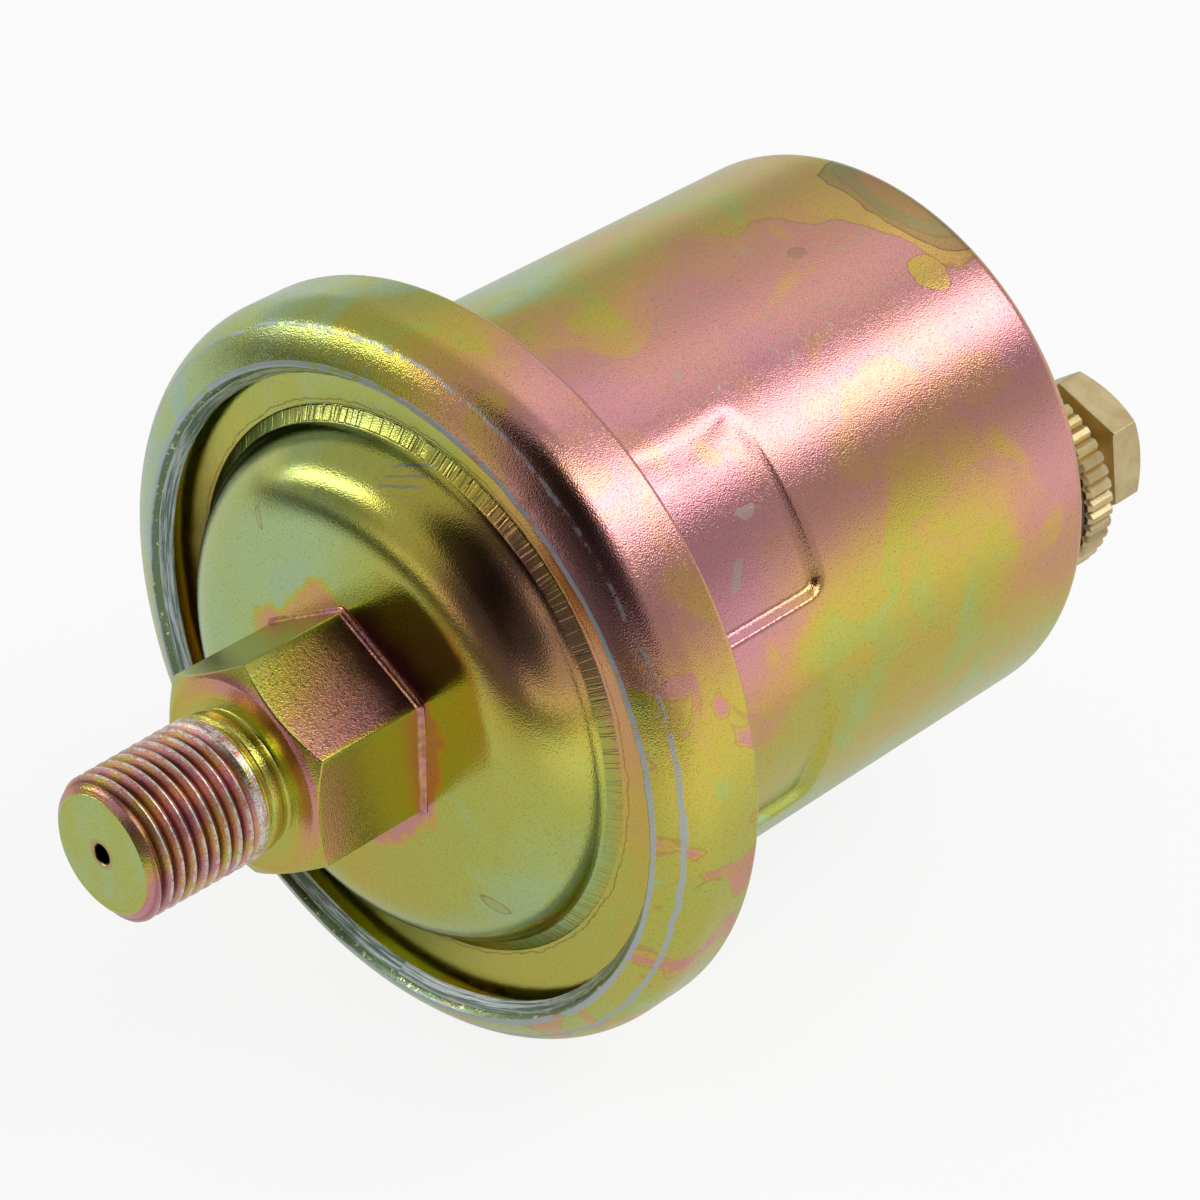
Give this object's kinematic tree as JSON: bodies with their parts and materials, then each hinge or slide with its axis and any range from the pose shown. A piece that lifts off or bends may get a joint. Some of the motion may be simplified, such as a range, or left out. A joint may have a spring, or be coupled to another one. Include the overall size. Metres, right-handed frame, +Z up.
{
  "type": "oil pressure sender",
  "caption": "Mechanical pressure sender: threaded port, domed cap crimped in a drawn can, diaphragm, lever and wiper on a resistance card, one terminal stud.",
  "frame": {"origin": "on the thread's axis, 6.9 mm from the tip: the plane of the port's mouth once the sender is tight", "axes": "+X from the thread's tip towards the terminal, +Z up as the sender lies, the terminal is off the axis towards -Y"},
  "size_m": [0.0829, 0.0534, 0.0532],
  "materials": {
    "port_steel": "yellow passivated zinc on turned steel, iridescent from olive to pink",
    "braze": "pinkish filler metal under the same plating",
    "cap_steel": "yellow passivated zinc on drawn sheet steel, green to gold with a pink halo",
    "can_steel": "yellow passivated zinc on drawn sheet steel, pink to yellow-green with stains and bare edges",
    "seal_rubber": "plain black sealing rubber",
    "spring_bronze": "rolled bronze spring sheet",
    "plain_steel": "zinc plated steel, plain inside the can",
    "small_steel": "bright small steel pieces",
    "contact_silver": "silver contact bead",
    "former_board": "brown laminated insulating board",
    "winding_wire": "fine resistance wire wound side by side",
    "insulator": "dark purple-brown insulating washers",
    "terminal_brass": "pale turned brass"
  },
  "bodies": {
    "case": {"pressure_port": "port_steel", "port_braze": "braze", "pressure_cap": "cap_steel", "housing_can": "can_steel", "seal_ring": "seal_rubber", "diaphragm": "spring_bronze", "contact_strip": "spring_bronze", "base_plate": "plain_steel", "frame_bracket": "plain_steel", "pivot_pin": "plain_steel", "return_spring": "small_steel", "frame_rivet": "small_steel", "card_rivet": "small_steel", "resistor_former": "former_board", "resistance_winding": "winding_wire", "inner_washer": "insulator", "outer_washer": "insulator", "terminal_stud": "terminal_brass", "knurled_nut": "terminal_brass", "hex_nut": "terminal_brass"},
    "push": {"push_pin": "plain_steel", "pin_clip": "small_steel"},
    "lever": {"rocker_lever": "plain_steel", "adjusting_screw": "small_steel", "adjusting_locknut": "small_steel", "wiper_arm": "spring_bronze", "wiper_rivet": "small_steel", "wiper_contact": "contact_silver"}
  },
  "joints": [
    {"name": "push_slide", "type": "slide", "parent": "case", "child": "push", "axis": [1, 0, 0], "range_m": [0, 0.0011], "stiffness_N_per_m": 400, "deforming": ["return_spring", "diaphragm"]},
    {"name": "lever_pivot", "type": "hinge", "parent": "case", "child": "lever", "pos_m": [0.0377, 0.005, 0], "axis": [0, 0, 1], "range_deg": [0, 12.7]}
  ],
  "couplings": [
    {"joint": "lever_pivot", "follows": "push_slide", "rad_per_m": 200}
  ]
}
